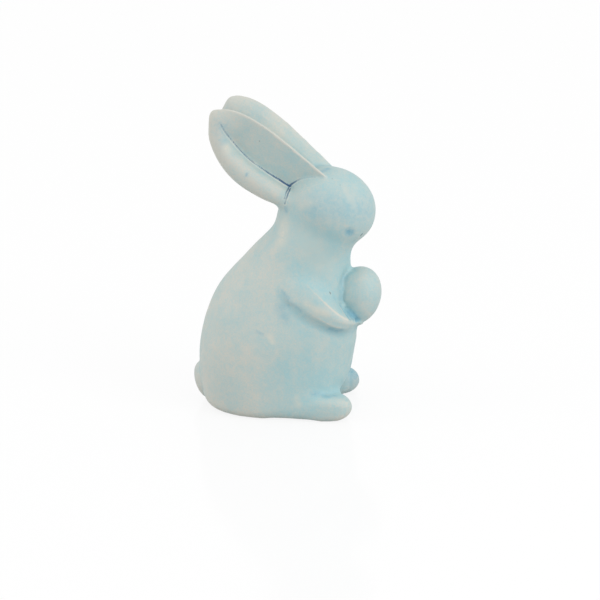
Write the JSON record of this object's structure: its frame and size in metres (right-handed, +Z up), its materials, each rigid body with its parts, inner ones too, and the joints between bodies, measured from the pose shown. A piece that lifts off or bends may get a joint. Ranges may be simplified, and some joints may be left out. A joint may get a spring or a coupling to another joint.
{
  "type": "rabbit figurine",
  "caption": "Carved soapstone figurine of a seated rabbit with long folded ears, bowing its head over an egg held to its chest; it stands on its flat base.",
  "frame": {"origin": "on the table, under the middle of the body, on the flat base", "axes": "+X the way the rabbit faces, +Y its left side, +Z up"},
  "size_m": [0.0712, 0.045, 0.1186],
  "materials": {
    "soapstone": "hand rubbed, waxed satin, dyed pale blue"
  },
  "bodies": {
    "root": {"body": "soapstone", "head": "soapstone", "ear_right": "soapstone", "ear_left": "soapstone", "egg": "soapstone", "foreleg_right": "soapstone", "foreleg_left": "soapstone", "hind_foot_right": "soapstone", "hind_foot_left": "soapstone", "tail": "soapstone"}
  },
  "joints": []
}
